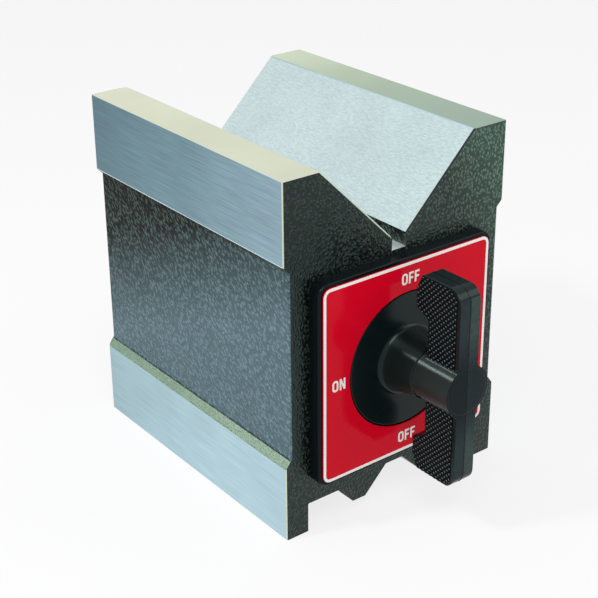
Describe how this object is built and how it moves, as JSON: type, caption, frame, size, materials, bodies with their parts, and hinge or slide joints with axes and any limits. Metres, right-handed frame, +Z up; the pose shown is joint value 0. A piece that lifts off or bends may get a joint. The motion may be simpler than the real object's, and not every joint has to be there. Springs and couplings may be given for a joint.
{
  "type": "switchable magnetic v-block",
  "caption": "Switchable magnetic V-block: two ground steel halves round a magnet rotor, with a quarter-turn grip knob and ON/OFF label on the front face.",
  "frame": {"origin": "middle of the bottom of the box round the whole object, between the two feet", "axes": "+Y along the V, away from the knob; +Z up from the feet; +X across the V towards the right half as the knob is faced"},
  "size_m": [0.07, 0.1094, 0.095],
  "materials": {
    "hammer_paint": "hammertone paint, dark green-grey, semi-gloss; the ground faces of the same node are slot ground_steel",
    "ground_steel": "surface-ground, fine straight grain",
    "spacer_steel": "non-magnetic stainless, ground with the block",
    "machined_steel": "turned",
    "screw_steel": "blackened",
    "brass_parts": "turned",
    "seal_rubber": "moulded",
    "magnet": "sintered, ground",
    "cover_plastic": "moulded, satin",
    "knob_plastic": "moulded, part glossy, part satin, stippled grips",
    "label_red": "printed, gloss",
    "label_white": "printed lettering and border line",
    "end_plate_paint": "hammertone paint, as the halves"
  },
  "bodies": {
    "block": {"left_pole": "hammer_paint", "right_pole": "hammer_paint", "upper_spacer": "spacer_steel", "lower_spacer": "spacer_steel", "spacer_dowels": "brass_parts", "front_bearing_plate": "machined_steel", "front_plate_screws": "screw_steel", "front_bush": "brass_parts", "shaft_seal": "seal_rubber", "front_thrust_washer": "brass_parts", "front_cover": "cover_plastic", "front_cover_screws": "screw_steel", "label_plate": "label_red", "rear_end_plate": "end_plate_paint", "rear_plate_screws": "screw_steel", "rear_bush": "brass_parts", "rear_thrust_washer": "brass_parts"},
    "switch": {"drive_flange": "machined_steel", "rear_flange": "machined_steel", "rotor_segment_upper": "machined_steel", "rotor_segment_lower": "machined_steel", "rotor_magnets": "magnet", "rotor_screws": "screw_steel", "stop_pin": "machined_steel", "knob": "knob_plastic", "knob_insert": "brass_parts", "knob_set_screw": "screw_steel"}
  },
  "joints": [
    {"name": "knob_turn", "type": "hinge", "parent": "block", "child": "switch", "pos_m": [0, -0.0293, 0.0413], "axis": [0, 1, 0], "range_deg": [0, 90]}
  ]
}
